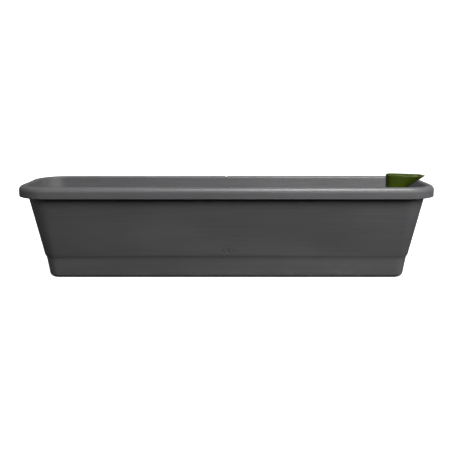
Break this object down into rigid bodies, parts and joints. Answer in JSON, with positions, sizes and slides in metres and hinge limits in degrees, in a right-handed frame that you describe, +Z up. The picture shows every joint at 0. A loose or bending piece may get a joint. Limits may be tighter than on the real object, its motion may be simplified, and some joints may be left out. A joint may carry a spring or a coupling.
{
  "type": "self watering planter",
  "caption": "Long rectangular planter trough with a rolled rim, a false floor over a water reservoir, wick cups, a fill tube with a swivelling funnel and overflow plugs.",
  "frame": {"origin": "middle of the standing face, on the ground", "axes": "+X along the trough towards the filler, +Y to the back, +Z up"},
  "size_m": [0.79, 0.195, 0.198],
  "materials": {
    "grey_plastic": "satin",
    "black_plastic": "matte",
    "green_plastic": "satin",
    "seal_rubber": "matte"
  },
  "bodies": {
    "trough_box": {"trough": "grey_plastic"},
    "left_plate": {"reservoir_plate_left": "black_plastic"},
    "right_plate": {"reservoir_plate_right": "black_plastic"},
    "filler": {"filler_tube": "green_plastic"},
    "funnel": {"filler_funnel": "green_plastic"},
    "plug_left": {"overflow_plug_left": "green_plastic", "plug_seal_left": "seal_rubber"},
    "plug_right": {"overflow_plug_right": "green_plastic", "plug_seal_right": "seal_rubber"},
    "wick_cup_outer_left_body": {"wick_cup_outer_left": "black_plastic"},
    "wick_cup_inner_left_body": {"wick_cup_inner_left": "black_plastic"},
    "wick_cup_inner_right_body": {"wick_cup_inner_right": "black_plastic"},
    "wick_cup_outer_right_body": {"wick_cup_outer_right": "black_plastic"}
  },
  "joints": [
    {"name": "left_plate_lift", "type": "slide", "parent": "trough_box", "child": "left_plate", "axis": [0, 0, 1], "range_m": [0, 0.19]},
    {"name": "right_plate_lift", "type": "slide", "parent": "trough_box", "child": "right_plate", "axis": [0, 0, 1], "range_m": [0, 0.19]},
    {"name": "wick_cup_outer_left_lift", "type": "slide", "parent": "left_plate", "child": "wick_cup_outer_left_body", "axis": [0, 0, 1], "range_m": [0, 0.18]},
    {"name": "wick_cup_inner_left_lift", "type": "slide", "parent": "left_plate", "child": "wick_cup_inner_left_body", "axis": [0, 0, 1], "range_m": [0, 0.18]},
    {"name": "wick_cup_inner_right_lift", "type": "slide", "parent": "right_plate", "child": "wick_cup_inner_right_body", "axis": [0, 0, 1], "range_m": [0, 0.18]},
    {"name": "wick_cup_outer_right_lift", "type": "slide", "parent": "right_plate", "child": "wick_cup_outer_right_body", "axis": [0, 0, 1], "range_m": [0, 0.18]},
    {"name": "filler_lift", "type": "slide", "parent": "right_plate", "child": "filler", "axis": [0, 0, 1], "range_m": [0, 0.18]},
    {"name": "funnel_swivel", "type": "hinge", "parent": "filler", "child": "funnel", "pos_m": [0.322, -0.036, 0.163], "axis": [0, 0, 1], "continuous": true},
    {"name": "plug_left_pull", "type": "slide", "parent": "trough_box", "child": "plug_left", "axis": [0, 1, 0], "range_m": [0, 0.03]},
    {"name": "plug_right_pull", "type": "slide", "parent": "trough_box", "child": "plug_right", "axis": [0, 1, 0], "range_m": [0, 0.03]}
  ]
}
